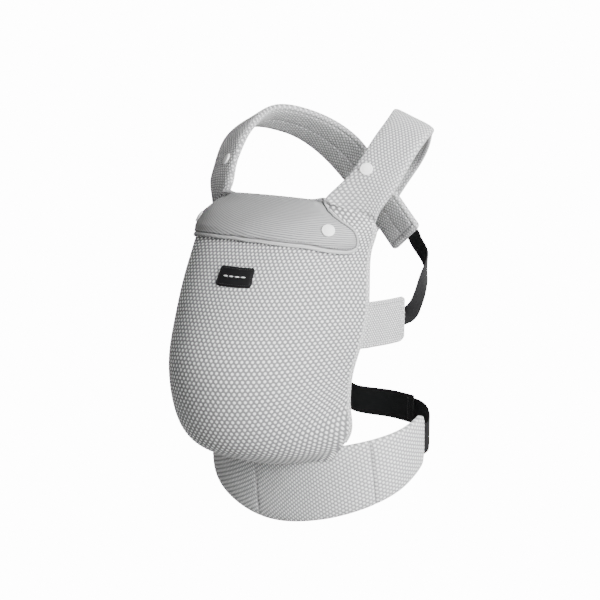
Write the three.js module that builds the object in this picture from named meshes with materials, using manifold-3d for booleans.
// Soft structured baby carrier, standing open as if worn.
// Millimetres. +X is the wearer's left, -Y the front (the pouch side, where the baby sits),
// +Y the wearer's back, +Z up. Side +1 is the wearer's left, side -1 the right.
import * as THREE from 'three';
import Module from 'manifold-3d';

const wasm = await Module();
wasm.setup();

const SIDES = [['left', 1], ['right', -1]];
const SHIFT_Y = 39.364;   // centres the whole carrier in Y
const SHIFT_Z = 12.247;   // stands it on Z = 0
const GAP = 0.3;          // clearance between neighbouring fabric layers

// ---------------------------------------------------------------- small maths
const UP = new THREE.Vector3(0, 0, 1);
const toVector = ([x, y, z]) => new THREE.Vector3(x, y, z);
const toRadians = (degrees) => degrees * Math.PI / 180;
const lerp = (a, b, share) => a + (b - a) * share;
const shares = (count) => [...Array(count + 1).keys()].map((i) => i / count);
const pick = (list, share) => list[Math.round(share * (list.length - 1))];
const column = (table, index) => table.map((row) => row[index]);

// Rises smoothly from 0 at start to 1 at end.
function smoothStep(start, end, x) {
  const share = Math.min(1, Math.max(0, (x - start) / (end - start)));
  return share * share * (3 - 2 * share);
}

// Smooth curve through values at unevenly spaced knots, held constant beyond both ends.
function spline(knots, values, at) {
  const last = knots.length - 1;
  const t = Math.min(knots[last], Math.max(knots[0], at));
  const chord = (i) => (values[i + 1] - values[i]) / (knots[i + 1] - knots[i]);
  const slope = (i) => {
    if (i === 0) return chord(0);
    if (i === last) return chord(last - 1);
    const before = knots[i] - knots[i - 1];
    const after = knots[i + 1] - knots[i];
    return (chord(i - 1) * after + chord(i) * before) / (before + after);
  };
  let k = 0;
  while (k < last - 1 && t >= knots[k + 1]) k++;
  const span = knots[k + 1] - knots[k];
  const x = (t - knots[k]) / span;
  return (2 * x ** 3 - 3 * x ** 2 + 1) * values[k]
    + (x ** 3 - 2 * x ** 2 + x) * span * slope(k)
    + (-2 * x ** 3 + 3 * x ** 2) * values[k + 1]
    + (x ** 3 - x ** 2) * span * slope(k + 1);
}
const splinePoint = (knots, points, at) =>
  toVector([0, 1, 2].map((axis) => spline(knots, column(points, axis), at)));

// Matrix whose local Z is the given direction, with local X as near to up as it can be.
function frameAlong(origin, direction) {
  const z = direction.clone().normalize();
  const x = UP.clone().addScaledVector(z, -UP.dot(z)).normalize();
  return new THREE.Matrix4().makeBasis(x, z.clone().cross(x), z).setPosition(origin);
}

// ---------------------------------------------------------------- mesh helpers
// Builds a closed geometry and turns its faces outwards.
function closedGeometry(vertices, triangles) {
  let volume = 0;
  for (const [i, j, k] of triangles) {
    volume += vertices[i].dot(vertices[j].clone().cross(vertices[k])) / 6;
  }
  const faces = volume < 0 ? triangles.map(([i, j, k]) => [i, k, j]) : triangles;
  const geometry = new THREE.BufferGeometry();
  const coordinates = vertices.flatMap((vertex) => vertex.toArray());
  geometry.setAttribute('position', new THREE.Float32BufferAttribute(coordinates, 3));
  geometry.setIndex(faces.flat());
  return geometry;
}

// Closed sheet between two offsets; pointAt(u, v, offset) takes u and v from 0 to 1.
function sheet(pointAt, nu, nv, offset0, offset1) {
  const vertices = [];
  const triangles = [];
  const layerSize = (nu + 1) * (nv + 1);
  const id = (i, j, layer) => layer * layerSize + i * (nv + 1) + j;
  for (const offset of [offset0, offset1]) {
    for (const u of shares(nu)) {
      for (const v of shares(nv)) vertices.push(pointAt(u, v, offset));
    }
  }
  for (let i = 0; i < nu; i++) {
    for (let j = 0; j < nv; j++) {
      triangles.push([id(i, j, 1), id(i + 1, j, 1), id(i + 1, j + 1, 1)]);
      triangles.push([id(i, j, 1), id(i + 1, j + 1, 1), id(i, j + 1, 1)]);
      triangles.push([id(i, j, 0), id(i + 1, j + 1, 0), id(i + 1, j, 0)]);
      triangles.push([id(i, j, 0), id(i, j + 1, 0), id(i + 1, j + 1, 0)]);
    }
  }
  const rim = [];
  for (let i = 0; i < nu; i++) rim.push([i, 0, i + 1, 0]);
  for (let j = 0; j < nv; j++) rim.push([nu, j, nu, j + 1]);
  for (let i = nu; i > 0; i--) rim.push([i, nv, i - 1, nv]);
  for (let j = nv; j > 0; j--) rim.push([0, j, 0, j - 1]);
  for (const [i0, j0, i1, j1] of rim) {
    triangles.push([id(i0, j0, 0), id(i1, j1, 0), id(i1, j1, 1)]);
    triangles.push([id(i0, j0, 0), id(i1, j1, 1), id(i0, j0, 1)]);
  }
  return closedGeometry(vertices, triangles);
}

// Closed sweep of an anticlockwise section along frames of origin, across and normal.
function sweep(frames, section) {
  const size = section.length;
  const triangles = [];
  const vertices = frames.flatMap(({ origin, across, normal }) => section.map(([a, b]) =>
    origin.clone().addScaledVector(across, a).addScaledVector(normal, b)));
  for (let i = 0; i + 1 < frames.length; i++) {
    for (let j = 0; j < size; j++) {
      const here = i * size + j;
      const next = i * size + (j + 1) % size;
      triangles.push([here, next, next + size], [here, next + size, here + size]);
    }
  }
  const end = (frames.length - 1) * size;
  const outline = section.map(([a, b]) => new THREE.Vector2(a, b));
  for (const [a, b, c] of THREE.ShapeUtils.triangulateShape(outline, [])) {
    triangles.push([a, c, b], [end + a, end + b, end + c]);
  }
  return closedGeometry(vertices, triangles);
}

// Solid of revolution about local Z from [radius, z] points. The profile runs from axis to
// axis, or closes on itself as a ring when it starts off the axis.
function lathe(profile, segments = 24) {
  const vertices = [];
  const triangles = [];
  const rings = profile.map(([radius, z]) => {
    const first = vertices.length;
    const count = radius === 0 ? 1 : segments;
    for (let i = 0; i < count; i++) {
      const angle = i / segments * 2 * Math.PI;
      vertices.push(new THREE.Vector3(radius * Math.cos(angle), radius * Math.sin(angle), z));
    }
    return [...Array(count).keys()].map((i) => first + i);
  });
  const bands = profile[0][0] > 0 ? rings.length : rings.length - 1;
  for (let k = 0; k < bands; k++) {
    const lower = rings[k];
    const upper = rings[(k + 1) % rings.length];
    for (let i = 0; i < segments; i++) {
      const j = (i + 1) % segments;
      if (lower.length === 1) triangles.push([lower[0], upper[j], upper[i]]);
      else if (upper.length === 1) triangles.push([lower[i], lower[j], upper[0]]);
      else triangles.push([lower[i], lower[j], upper[j]], [lower[i], upper[j], upper[i]]);
    }
  }
  return closedGeometry(vertices, triangles);
}

// Outline in local X and Y, extruded equally to both sides of Z = 0.
function extrude(outline, depth) {
  const shape = new THREE.Shape();
  shape.moveTo(...outline[0]);
  for (const point of outline.slice(1)) shape.lineTo(...point);
  shape.closePath();
  return new THREE.ExtrudeGeometry(shape, { depth, bevelEnabled: false })
    .translate(0, 0, -depth / 2);
}

const box = ([x0, x1], [y0, y1], [z0, z1]) => new THREE.BoxGeometry(x1 - x0, y1 - y0, z1 - z0)
  .translate((x0 + x1) / 2, (y0 + y1) / 2, (z0 + z1) / 2);

// Section of flat webbing.
const flatSection = (width, thickness) => [
  [-width / 2, -thickness / 2], [width / 2, -thickness / 2],
  [width / 2, thickness / 2], [-width / 2, thickness / 2],
];

// Welds coincident vertices, drops collapsed triangles and hands the mesh to manifold.
function toManifold(geometry) {
  const position = geometry.getAttribute('position');
  const known = new Map();
  const coordinates = [];
  const welded = [];
  for (let i = 0; i < position.count; i++) {
    const point = [position.getX(i), position.getY(i), position.getZ(i)];
    const key = point.map((value) => Math.round(value * 1e4)).join(',');
    if (!known.has(key)) {
      known.set(key, coordinates.length / 3);
      coordinates.push(...point);
    }
    welded.push(known.get(key));
  }
  const corners = Array.from(geometry.index.array, (i) => welded[i]);
  const triangles = [];
  for (let i = 0; i < corners.length; i += 3) {
    const [a, b, c] = corners.slice(i, i + 3);
    if (a !== b && b !== c && a !== c) triangles.push(a, b, c);
  }
  return new wasm.Manifold(new wasm.Mesh({
    numProp: 3,
    vertProperties: new Float32Array(coordinates),
    triVerts: new Uint32Array(triangles),
  }));
}
function fromManifold(solid) {
  const { vertProperties, triVerts } = solid.getMesh();
  const geometry = new THREE.BufferGeometry();
  const coordinates = Array.from(vertProperties);
  geometry.setAttribute('position', new THREE.Float32BufferAttribute(coordinates, 3));
  geometry.setIndex(Array.from(triVerts));
  return geometry;
}
const union = (...parts) => fromManifold(parts.map(toManifold).reduce((a, b) => a.add(b)));
const cut = (body, ...tools) =>
  fromManifold(tools.map(toManifold).reduce((a, b) => a.subtract(b), toManifold(body)));

// ---------------------------------------------------------------- assembly and materials
const root = new THREE.Group();
root.name = 'baby_carrier';
const placed = new THREE.Group();
placed.name = 'placed';
placed.position.set(0, SHIFT_Y, SHIFT_Z);
root.add(placed);

const ROUGHNESS = 0.85;
const COLOURS = {
  mesh: 0xd6d7d8, lining: 0xc4c6c9, foam: 0xe6e6e2, twill: 0xbcbdbf, black: 0x17181a,
  plastic: 0x1d1e20, snap: 0xf1f1f0, label: 0x131416, tape: 0xcfd0d2,
};
function add(name, geometry, kind) {
  const material = new THREE.MeshStandardMaterial({
    color: COLOURS[kind], roughness: ROUGHNESS,
  });
  const piece = new THREE.Mesh(geometry, material);
  piece.name = name;
  placed.add(piece);
}

// ---------------------------------------------------------------- waist loop surface
// The mid surface is a superellipse in plan. Angles are degrees from the front, positive
// towards the wearer's left.
const LOOP = { halfX: 148.0, halfY: 99.2, power: 2.3 };
// Columns: angle, height of the centre line. The row at -40 mirrors the one at 40.
const BELT_CENTRE = [
  [-40, 45.5], [0, 31.6], [40, 45.5], [80, 73.4],
  [121, 104.3], [150, 102.0], [180, 97.2], [210, 96.0],
];
// Columns: angle, height of the belt's section.
const BELT_HEIGHT = [[-40, 90.4], [0, 87.7], [40, 90.4], [80, 76.5], [121, 50.2]];

const atAngle = (table, angle) => spline(column(table, 0), column(table, 1), Math.abs(angle));

// Point at a height above the centre line and a distance outside the mid surface.
function bandPoint(angle, height, offset) {
  const sine = Math.sin(toRadians(angle));
  const cosine = Math.cos(toRadians(angle));
  const radius = (Math.abs(sine / (LOOP.halfX + offset)) ** LOOP.power
    + Math.abs(cosine / (LOOP.halfY + offset)) ** LOOP.power) ** (-1 / LOOP.power);
  const z = atAngle(BELT_CENTRE, angle) + height;
  return new THREE.Vector3(radius * sine, -radius * cosine, z);
}
// The same with the height as a share of the belt's own height.
const beltPoint = (angle, heightShare, offset) =>
  bandPoint(angle, heightShare * atAngle(BELT_HEIGHT, angle), offset);

// ---------------------------------------------------------------- padded waist belt
const BELT_END = 100;              // the padded belt runs to plus and minus this angle
const BELT_SEAMS = [-82, -8, 66];  // angles of the seams that split the cover
const BELT_STEP = 7.4;             // about this angle between stations
const BELT_THICK = 12;
const BELT_FABRIC = 1.2;
const BELT_TRIM = 0.15;            // angle left open at each end of a sewn length
const BELT_FOAM = { gap: GAP + 0.1, halfShare: 0.47, trim: 1.5 };
const BELT_COVERS = ['right_end', 'right', 'centre', 'left'];

function buildBelt() {
  const ends = [-BELT_END, ...BELT_SEAMS, BELT_END];
  // every layer shares these angles, so the flats of neighbouring layers stay parallel
  const spans = ends.slice(1).map((end, i) => {
    const count = Math.max(5, Math.round((end - ends[i]) / BELT_STEP));
    return shares(count).map((share) => lerp(ends[i], end, share));
  });
  const allAngles = spans.flatMap((span, i) => (i ? span.slice(1) : span));
  const layer = (angles, halfShare, inner, outer, trim) => sheet((u, v, offset) => {
    const trimHere = u === 0 ? trim : u === 1 ? -trim : 0;
    return beltPoint(pick(angles, u) + trimHere, lerp(-halfShare, halfShare, v), offset);
  }, angles.length - 1, 2, inner, outer);

  const face = BELT_THICK / 2;
  const foamFace = face - BELT_FABRIC - BELT_FOAM.gap;
  spans.forEach((angles, i) => {
    const cover = layer(angles, 0.5, face - BELT_FABRIC, face, BELT_TRIM);
    add(`belt_cover_${BELT_COVERS[i]}`, cover, 'mesh');
  });
  const foam = layer(allAngles, BELT_FOAM.halfShare, -foamFace, foamFace, BELT_FOAM.trim);
  add('belt_padding', foam, 'foam');
  const lining = layer(allAngles, 0.5, -face, -face + BELT_FABRIC, BELT_TRIM);
  add('belt_lining', lining, 'lining');
}

// ---------------------------------------------------------------- front panel surface
// s runs -1..1 from the right edge to the left, t runs 0..1 from the belt to the head fold.
const PANEL_FOOT = { angle: 47, heightShare: 0.36, offset: 8 };  // row sewn to the belt
// Rows above the foot, each bulging like an arc.
// Columns: t, left edge x, y, z, middle y, z, half arc in degrees.
const PANEL_ROWS = [
  [0.12, 114.6, -79.1, 113.3, -151.5, 78.5, 79.9],
  [0.28, 114.7, -80.5, 153.7, -207.5, 108.8, 89.9],
  [0.45, 115.1, -75.6, 190.5, -231.9, 188.9, 91.6],
  [0.62, 122.5, -57.4, 253.9, -217.5, 256.3, 85.1],
  [0.78, 123.6, -55, 330.6, -189.1, 312.4, 80.1],
  [0.89, 130.0, -55.7, 369.4, -152.6, 353.8, 66.1],
  [1.0, 82, -90, 394.4, -91.9, 395.5, 20],
];
const PANEL_KNOTS = [0, ...column(PANEL_ROWS, 0)];
// Mesh rows, closer together at the foot and the head fold where the panel curls tightly.
const MESH_ROWS = [
  0, 0.04, 0.08, 0.11, 0.16, 0.24, 0.34, 0.46, 0.58, 0.7, 0.8, 0.87, 0.92, 0.96, 1,
];
const INNER_ROW = 3;               // padding, lining and edge tapes start at this mesh row
const TAPE_END_ROW = 10;           // last mesh row of the edge tapes
const PANEL_COLUMNS = 16;
const SLOPE_STEP = 2e-3;           // half step in s and t for taking directions

function panelRowPoint([, edgeX, edgeY, edgeZ, middleY, middleZ, halfArc], s) {
  const half = toRadians(halfArc);
  const bulge = (Math.cos(s * half) - Math.cos(half)) / (1 - Math.cos(half));
  const x = edgeX * Math.sin(s * half) / Math.sin(half);
  return [x, lerp(edgeY, middleY, bulge), lerp(edgeZ, middleZ, bulge)];
}
function panelPoint(s, t) {
  const { angle, heightShare, offset } = PANEL_FOOT;
  const foot = beltPoint(s * angle, heightShare, offset).toArray();
  const points = [foot, ...PANEL_ROWS.map((row) => panelRowPoint(row, s))];
  return splinePoint(PANEL_KNOTS, points, t);
}
const panelAlongT = (s, t) =>
  panelPoint(s, t + SLOPE_STEP).sub(panelPoint(s, t - SLOPE_STEP));
function panelNormal(s, t) {       // outwards
  const alongS = panelPoint(s + SLOPE_STEP, t).sub(panelPoint(s - SLOPE_STEP, t));
  return alongS.cross(panelAlongT(s, t)).normalize();
}
const offPanel = (s, t, offset) =>
  panelPoint(s, t).addScaledVector(panelNormal(s, t), offset);

// ---------------------------------------------------------------- front panel pieces
const LINING_INNER = -5.3;
// Columns: name, first mesh row, inner and outer offset, material.
const PANEL_LAYERS = [
  ['cover', 0, -1.5, 0, 'mesh'],
  ['padding', INNER_ROW, -4.0, -1.8, 'foam'],
  ['lining', INNER_ROW, LINING_INNER, -4.3, 'lining'],
];
// Channel section folded round the panel's edge. Columns: outwards past the edge, along
// the panel normal.
const TAPE_SECTION = [
  [-4, 0.9], [0.7, 0.9], [0.7, LINING_INNER - 1.1], [-4, LINING_INNER - 1.1],
  [-4, LINING_INNER - 1.9], [1.6, LINING_INNER - 1.9], [1.6, 1.7], [-4, 1.7],
];
const LABEL = { s: [0.02, 0.295], t: [0.742, 0.795], thickness: 1.1 };

function buildPanel() {
  for (const [name, firstRow, inner, outer, kind] of PANEL_LAYERS) {
    const rows = MESH_ROWS.slice(firstRow);
    const pointAt = (u, v, offset) => offPanel(lerp(-1, 1, u), pick(rows, v), offset);
    const layer = sheet(pointAt, PANEL_COLUMNS, rows.length - 1, inner, outer);
    add(`panel_${name}`, layer, kind);
  }
}
function buildLegTape(sideName, side) {
  const frames = MESH_ROWS.slice(INNER_ROW, TAPE_END_ROW + 1).map((t) => {
    const normal = panelNormal(side, t);
    const across = panelAlongT(side, t).cross(normal).normalize().multiplyScalar(side);
    return { origin: panelPoint(side, t), across, normal };
  });
  add(`leg_edge_tape_${sideName}`, sweep(frames, TAPE_SECTION), 'tape');
}
// blank maker's patch
function buildLabel() {
  const pointAt = (u, v, offset) => offPanel(lerp(...LABEL.s, u), lerp(...LABEL.t, v), offset);
  add('label_patch', sheet(pointAt, 5, 3, GAP, GAP + LABEL.thickness), 'label');
}

// ---------------------------------------------------------------- head flap
// Folded down over the top of the panel, following its surface.
// Columns: v from the fold to the free edge, half width in s, t at the sides, t in the middle.
const FLAP_ROWS = [
  [0, 1.0, 1.0, 1.0],
  [0.25, 0.85, 0.94, 0.975],
  [0.5, 0.86, 0.885, 0.945],
  [0.7, 0.872, 0.862, 0.92],
  [0.85, 0.872, 0.842, 0.9],
  [1, 0.85, 0.825, 0.878],
];
const FLAP_SPAN = [0.04, 0.93];    // v range of the layers
const HEM_SPAN = [0.945, 1];       // v range of the hem
const HEM_OFFSETS = [1.8, 6.8];
const CAP_POST_HOLE = 2.4;         // hole radius in the cover
const SOCKET_HOLE = 7.2;           // hole radius in the padding and lining
// Columns: name, inner and outer offset from the panel, hole radius, material.
const FLAP_LAYERS = [
  ['cover', 5.5, 6.6, CAP_POST_HOLE, 'twill'],
  ['padding', 2.9, 5.2, SOCKET_HOLE, 'foam'],
  ['lining', 1.7, 2.6, SOCKET_HOLE, 'lining'],
];
const FLAP_SNAP = { s: 0.70, t: 0.888 };
const SNAP_RADIUS = 7.4;           // visible snap cap
// Profiles of [radius, offset from the panel].
const FLAP_SNAP_PARTS = {
  flap_snap_cap: [
    [0, 4.2], [1.9, 4.2], [1.9, 7.3], [SNAP_RADIUS, 7.3], [SNAP_RADIUS, 8.0],
    [SNAP_RADIUS - 1.2, 9.0], [3.5, 9.5], [0, 9.6],
  ],
  flap_snap_socket: [[3.4, 1.7], [6.6, 1.7], [6.6, 3.9], [3.4, 3.9]],
  panel_snap_stud: [[0, 0.5], [6.2, 0.5], [6.2, 1.1], [2.8, 1.1], [2.8, 3.4], [0, 3.4]],
  panel_snap_back: [[0, -8.6], [4.8, -8.6], [5.6, -8.1], [5.6, -7.5], [0, -7.5]],
};

function flapSheet(span, rowCount, inner, outer) {
  const flapValue = (index, v) => spline(column(FLAP_ROWS, 0), column(FLAP_ROWS, index), v);
  return sheet((u, vShare, offset) => {
    const across = lerp(-1, 1, u);
    const v = lerp(...span, vShare);
    const t = lerp(flapValue(3, v), flapValue(2, v), across * across);
    return offPanel(flapValue(1, v) * across, t, offset);
  }, PANEL_COLUMNS, rowCount, inner, outer);
}
function flapSnapFrame(side) {
  const s = FLAP_SNAP.s * side;
  return frameAlong(panelPoint(s, FLAP_SNAP.t), panelNormal(s, FLAP_SNAP.t));
}
function buildFlap() {
  for (const [name, inner, outer, radius, kind] of FLAP_LAYERS) {
    const holes = SIDES.map(([, side]) =>
      lathe([[0, -2], [radius, -2], [radius, 12], [0, 12]], 20)
        .applyMatrix4(flapSnapFrame(side)));
    add(`flap_${name}`, cut(flapSheet(FLAP_SPAN, 5, inner, outer), ...holes), kind);
  }
  add('flap_hem', flapSheet(HEM_SPAN, 1, ...HEM_OFFSETS), 'twill');
}
function buildSnap(parts, frame, sideName) {
  for (const [name, profile] of Object.entries(parts)) {
    add(`${name}_${sideName}`, lathe(profile).applyMatrix4(frame), 'snap');
  }
}

// ---------------------------------------------------------------- shoulder straps
// Stations 0..8 run from the front seam over the shoulder and across the back to the
// other side. Both tables are for the left strap; the right one is its mirror image
// except where LEFT_* applies.
const STRAP_CENTRE = [
  [99.7, -84, 346.6], [111.7, -67.1, 384.2], [122.5, -40.7, 423.5],
  [128.3, -6.9, 462.7], [121.4, 36.9, 481.5], [88.9, 81.3, 469.7],
  [44.1, 106.3, 435.8], [-6.6, 106.9, 385.4], [-55.3, 116.4, 324.5],
];
const STRAP_ACROSS = [             // width directions
  [0.757, 0.654, 0.006], [0.819, 0.57, -0.063], [0.897, 0.418, -0.142],
  [0.925, 0.256, -0.28], [0.9, 0.16, -0.4], [0.891, 0.129, -0.434],
  [0.814, 0.116, -0.57], [0.692, 0.264, -0.672], [0.598, 0.264, -0.757],
];
const STRAP_STATIONS = [...STRAP_CENTRE.keys()];
const STRAP_LAST = STRAP_CENTRE.length - 1;
const STRAP_WIDTH = 64;
const STRAP_FACE = 6;              // half thickness
const STRAP_FABRIC = 1.1;
const STRAP_SEGMENTS = 24;
const STRAP_START = [1.2, 0.88];   // station of the slanting front seam at the two edges
const LEFT_STANDOFF = 26;          // the left strap passes outside the right one at the back
const LEFT_LEAN = 8;               // it is pulled inwards over the shoulder
const LEFT_NARROWING = 0.12;       // and drawn in to a narrower width
const STRAP_SNAP = { station: 1.96, across: -0.22 * STRAP_WIDTH };
// Columns: name, inner and outer offset, material.
const STRAP_LAYERS = [
  ['cover', STRAP_FACE - STRAP_FABRIC, STRAP_FACE, 'mesh'],
  ['padding', -STRAP_FACE + STRAP_FABRIC + GAP, STRAP_FACE - STRAP_FABRIC - GAP, 'foam'],
  ['lining', -STRAP_FACE, -STRAP_FACE + STRAP_FABRIC, 'lining'],
];
// Profiles of [radius, offset from the strap's mid surface]: cap outside, stud inside.
const STRAP_SNAP_PARTS = {
  strap_snap_cap: [
    [0, STRAP_FACE + 0.7], [SNAP_RADIUS, STRAP_FACE + 0.7], [SNAP_RADIUS, STRAP_FACE + 1.4],
    [SNAP_RADIUS - 1.2, STRAP_FACE + 2.4], [0, STRAP_FACE + 2.9],
  ],
  strap_snap_stud: [
    [0, -STRAP_FACE - 3.6], [2.8, -STRAP_FACE - 3.6], [2.8, -STRAP_FACE - 1.5],
    [6.4, -STRAP_FACE - 1.5], [6.4, -STRAP_FACE - 0.7], [0, -STRAP_FACE - 0.7],
  ],
};

function strapCentre(station, side) {
  const centre = splinePoint(STRAP_STATIONS, STRAP_CENTRE, station);
  if (side > 0) {
    centre.x -= LEFT_LEAN * smoothStep(3.0, 4.8, station)
      * (1 - smoothStep(5.6, 7.4, station));
    centre.y += LEFT_STANDOFF * smoothStep(4.5, 6.2, station)
      * (1 - 0.1 * smoothStep(7.5, STRAP_LAST, station));
  }
  centre.x *= side;
  return centre;
}
function strapWidth(station, side) {
  if (side < 0) return STRAP_WIDTH;
  const pulled = smoothStep(1.0, 1.9, station) * (1 - smoothStep(6.0, 7.2, station));
  return STRAP_WIDTH * (1 - LEFT_NARROWING * pulled);
}
// Frame on a curve, with its width direction squared up to the curve.
const CURVE_STEP = 0.02;           // half step in stations for taking the tangent
function curveFrame(centreAt, stations, directions, station, side, normalSign) {
  const ends = [CURVE_STEP, -CURVE_STEP].map((step) => station + step);
  const limit = STRAP_LAST;
  const [ahead, behind] = ends.map((at) => centreAt(Math.min(limit, at)));
  const tangent = ahead.sub(behind).normalize();
  const across = splinePoint(stations, directions, station);
  across.x *= side;
  across.addScaledVector(tangent, -across.dot(tangent)).normalize();
  const normal = tangent.clone().cross(across).normalize().multiplyScalar(normalSign);
  return { origin: centreAt(station), across, normal };
}
const strapFrame = (station, side) => curveFrame(
  (at) => strapCentre(at, side), STRAP_STATIONS, STRAP_ACROSS, station, side, -side);

function buildStrap(sideName, side) {
  const pointAt = (u, v, offset) => {
    const station = lerp(lerp(...STRAP_START, v), STRAP_LAST, u);
    const { origin, across, normal } = strapFrame(station, side);
    return origin.addScaledVector(across, (v - 0.5) * strapWidth(station, side))
      .addScaledVector(normal, offset);
  };
  for (const [name, inner, outer, kind] of STRAP_LAYERS) {
    const layer = sheet(pointAt, STRAP_SEGMENTS, 2, inner, outer);
    add(`strap_${name}_${sideName}`, layer, kind);
  }
  const { origin, across, normal } = strapFrame(STRAP_SNAP.station, side);
  origin.addScaledVector(across, STRAP_SNAP.across);
  buildSnap(STRAP_SNAP_PARTS, frameAlong(origin, normal), sideName);
}

// ---------------------------------------------------------------- side wings
// They run back from the panel's edges along the flank; pairs are panel end, free end.
const WING = {
  y: [-47, 9], x: [119.5, 127.2], z: [244.5, 244.8],
  bow: 2.2, halfHeight: 28, cornerRadius: 6, thickness: 5,
};
const WING_STATIONS = [0, 0.12, 0.25, 0.38, 0.5, 0.62, 0.75, 0.86, 0.91, 0.95, 0.98, 1];
// Columns: name, inner and outer offset, material.
const WING_LAYERS = [
  ['cover', 0.4, WING.thickness / 2, 'mesh'],
  ['lining', -WING.thickness / 2, 0, 'lining'],
];

function buildWing(sideName, side) {
  const pointAt = (share, v, offset) => {
    const u = pick(WING_STATIONS, share);
    const radius = WING.cornerRadius;
    const x = lerp(...WING.x, u) + WING.bow * Math.sin(Math.PI * u);
    const y = lerp(...WING.y, u);
    const intoCorner = Math.max(0, y - (WING.y[1] - radius));
    const drop = radius - Math.sqrt(Math.max(0, radius * radius - intoCorner * intoCorner));
    const z = lerp(...WING.z, u) + (2 * v - 1) * (WING.halfHeight - drop);
    return new THREE.Vector3(side * (x + offset), y, z);
  };
  for (const [name, inner, outer, kind] of WING_LAYERS) {
    const layer = sheet(pointAt, WING_STATIONS.length - 1, 2, inner, outer);
    add(`wing_${name}_${sideName}`, layer, kind);
  }
}

// ---------------------------------------------------------------- side-release buckles
// Local +X is the way the plug leaves, Y the width, Z the thickness; X = 0 is the mouth.
const BUCKLE_MARGIN = 9;           // how much wider the buckle is than its webbing
const SOCKET_FACE = 5;             // half thickness of the socket
const ARM_THICK = 4;
// Webbing folded round the plug's bar. Columns: local X, Z.
const PLUG_WEB_OUTLINE = [
  [17.2, 3.9], [15.9, 3.9], [11.2, 3.9], [10.2, 2.6], [10.2, -2.6], [11.2, -3.9],
  [15.9, -3.9], [17.2, -3.9], [24, -1.6], [29, -1.6], [29, -0.4], [24, -0.4],
  [16.6, -2.7], [11.7, -2.7], [11.4, -2.4], [11.4, 2.4], [11.7, 2.7], [16.6, 2.7],
  [24, 0.4], [29, 0.4], [29, 1.6], [24, 1.6],
];

function socketGeometry(webWidth, length) {
  const half = (webWidth + BUCKLE_MARGIN) / 2;
  const face = SOCKET_FACE;
  const housing = box([-length, 0], [-half, half], [-face, face]);
  const tail = box([-length - 11, -length + 1], [-half + 1, half - 1], [-2.5, 2.5]);
  const cavity = box([-length + 4, 1], [-half + 2, half - 2], [-face + 2, face - 2]);
  const sideWindows =
    box([-length + 8, -length + 19], [-half - 1, half + 1], [-face + 2, face - 2]);
  const webSlot =
    box([-length - 7.5, -length - 2.5], [-webWidth / 2 - 1, webWidth / 2 + 1], [-6, 6]);
  return cut(union(housing, tail), cavity, sideWindows, webSlot);
}
function plugGeometry(webWidth, length) {
  const half = (webWidth + BUCKLE_MARGIN) / 2;
  const shoulder = box([0.4, 6], [-half, half], [-4.6, 4.6]);
  const rightRail = box([5, 15], [-half, -half + 3.6], [-2.6, 2.6]);
  const leftRail = box([5, 15], [half - 3.6, half], [-2.6, 2.6]);
  const webBar = box([12, 15], [-half + 1, half - 1], [-2.1, 2.1]);
  const tongue = box([-length + 7, 1], [-4, 4], [-2, 2]);
  return union(shoulder, rightRail, leftRail, webBar, tongue);
}
// the squeeze arm on the +Y side
function armGeometry(webWidth, length) {
  const half = (webWidth + BUCKLE_MARGIN) / 2;
  return extrude([
    [-0.1, half - 8.2], [-0.1, half - 4.8], [-length + 22, half - 4.4],
    [-length + 20, half - 2.5], [-length + 12, half - 2.5], [-length + 8, half - 4.6],
    [-length + 8, half - 7], [-length + 21, half - 7.6],
  ], ARM_THICK);
}
function buildBuckle(prefix, frame, webWidth, length) {
  const place = (name, geometry, kind) =>
    add(`${prefix}_${name}`, geometry.applyMatrix4(frame), kind);
  place('socket', socketGeometry(webWidth, length), 'plastic');
  place('plug', plugGeometry(webWidth, length), 'plastic');
  place('arm_a', armGeometry(webWidth, length), 'plastic');
  place('arm_b', armGeometry(webWidth, length).rotateX(Math.PI), 'plastic');
  place('plug_web', extrude(PLUG_WEB_OUTLINE, webWidth).rotateX(Math.PI / 2), 'black');
}

// ---------------------------------------------------------------- shoulder buckles
// They lie on the inner side of the wings.
const WEB_WIDTH = 25;
const WEB_THICK = 1.6;
const SHOULDER_BUCKLE = { mouth: [113.8, -4, 244.5], along: [0.09, 0.996], length: 32 };
const TAB_REACH = [3.2, 6.8];      // ends of the socket tab, beyond the socket's length

function buildShoulderBuckle(sideName, side) {
  const { mouth, along, length } = SHOULDER_BUCKLE;
  const origin = new THREE.Vector3(side * mouth[0], mouth[1], mouth[2]);
  const x = new THREE.Vector3(side * along[0], along[1], 0).normalize();
  const z = x.clone().cross(UP);
  const frame = new THREE.Matrix4().makeBasis(x, UP, z).setPosition(origin);
  buildBuckle(`shoulder_buckle_${sideName}`, frame, WEB_WIDTH, length);
  // webbing tab that ties the socket to the panel's side seam
  const tabFrames = TAB_REACH.map((reach) => ({
    origin: origin.clone().addScaledVector(x, -length - reach), across: UP, normal: z,
  }));
  const tab = sweep(tabFrames, flatSection(WEB_WIDTH, WEB_THICK));
  add(`socket_tab_${sideName}`, tab, 'black');
}

// ---------------------------------------------------------------- shoulder webbing
// From the end of each strap to the wing on the other side; tables are for the left wing.
const WEB_CENTRE = [
  [66.2, 113.5, 331.5], [72, 114, 322], [88, 107.5, 309], [104, 91, 301],
  [118, 70, 295], [126.5, 51, 284], [129, 38, 268], [128.6, 30, 256],
];
const WEB_ACROSS = [               // width directions
  [0.776, -0.241, 0.583], [0.74, -0.27, 0.62], [0.6, -0.35, 0.72], [0.45, -0.45, 0.78],
  [0.25, -0.6, 0.76], [0.05, -0.72, 0.69], [0.0, -0.8, 0.6], [0.0, -0.84, 0.54],
];
const WEB_STATIONS = [...WEB_CENTRE.keys()];
const WEB_RUN = [0.35, 6.7];       // first and last station used
const WEB_STANDOFF = LEFT_STANDOFF * 0.65;

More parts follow.
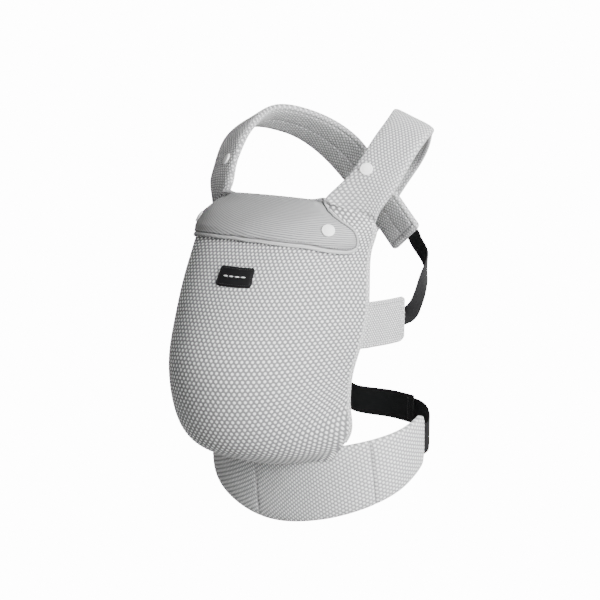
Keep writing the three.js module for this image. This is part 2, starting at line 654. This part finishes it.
function buildShoulderWebbing(sideName, side) {
  const centreAt = (station) => {
    const centre = splinePoint(WEB_STATIONS, WEB_CENTRE, station);
    // the right wing's webbing starts from the left strap, which stands off at the back
    if (side < 0) centre.y += WEB_STANDOFF * (1 - smoothStep(0, 3.5, station));
    centre.x *= side;
    return centre;
  };
  const frames = shares(20).map((share) =>
    curveFrame(centreAt, WEB_STATIONS, WEB_ACROSS, lerp(...WEB_RUN, share), side, 1));
  const webbing = sweep(frames, flatSection(WEB_WIDTH, WEB_THICK));
  add(`shoulder_webbing_${sideName}`, webbing, 'black');
}

// ---------------------------------------------------------------- waist webbing and buckle
const WAIST_WEB = 38;
const WAIST_OFFSET = 3.4;          // distance outside the loop's mid surface
const WAIST_RISE = 4;              // added towards the back
const BAND_END_EXTRA = 2;          // the left band end lies this much further out
const WAIST_BUCKLE = { angle: -148, length: 36 };

function buildWaist() {
  const band = (from, to, offsetAt, count) => sheet((u, v, offset) => {
    const angle = lerp(from, to, u);
    const height = lerp(-WAIST_WEB / 2, WAIST_WEB / 2, v);
    return bandPoint(angle, height, offset + offsetAt(Math.abs(angle)));
  }, count, 1, -WEB_THICK / 2, WEB_THICK / 2);
  const backOffset = (angle) => WAIST_OFFSET + WAIST_RISE * smoothStep(135, 165, angle);
  // a band leaves the middle of the belt's end face and swings outwards from there
  const leave = (angle) => smoothStep(BELT_END, BELT_END + 6, angle);
  const start = BELT_END + 0.4;
  const leftEnd = (angle) => (backOffset(angle) + BAND_END_EXTRA) * leave(angle);
  const rightEnd = (angle) => WAIST_OFFSET * leave(angle);
  add('waist_webbing_left', band(134, 188, backOffset, 18), 'black');
  add('waist_band_end_left', band(start, 141, leftEnd, 18), 'black');
  add('waist_webbing_right', band(-start, -126, rightEnd, 12), 'black');

  const pointAt = (angle) => bandPoint(angle, 0, WAIST_OFFSET + WAIST_RISE);
  const { angle, length } = WAIST_BUCKLE;
  // level, along the loop towards the middle of the back
  const x = pointAt(angle - 1).sub(pointAt(angle + 1)).setZ(0).normalize();
  const frame = new THREE.Matrix4().makeBasis(x, UP, x.clone().cross(UP))
    .setPosition(pointAt(angle));
  buildBuckle('waist_buckle', frame, WAIST_WEB, length);
}

// ---------------------------------------------------------------- build
const onBothSides = (build) => SIDES.forEach(([sideName, side]) => build(sideName, side));

buildBelt();
buildPanel();
onBothSides(buildLegTape);
buildLabel();
buildFlap();
onBothSides((sideName, side) => buildSnap(FLAP_SNAP_PARTS, flapSnapFrame(side), sideName));
onBothSides(buildStrap);
onBothSides(buildWing);
onBothSides(buildShoulderBuckle);
onBothSides(buildShoulderWebbing);
buildWaist();

export default root;
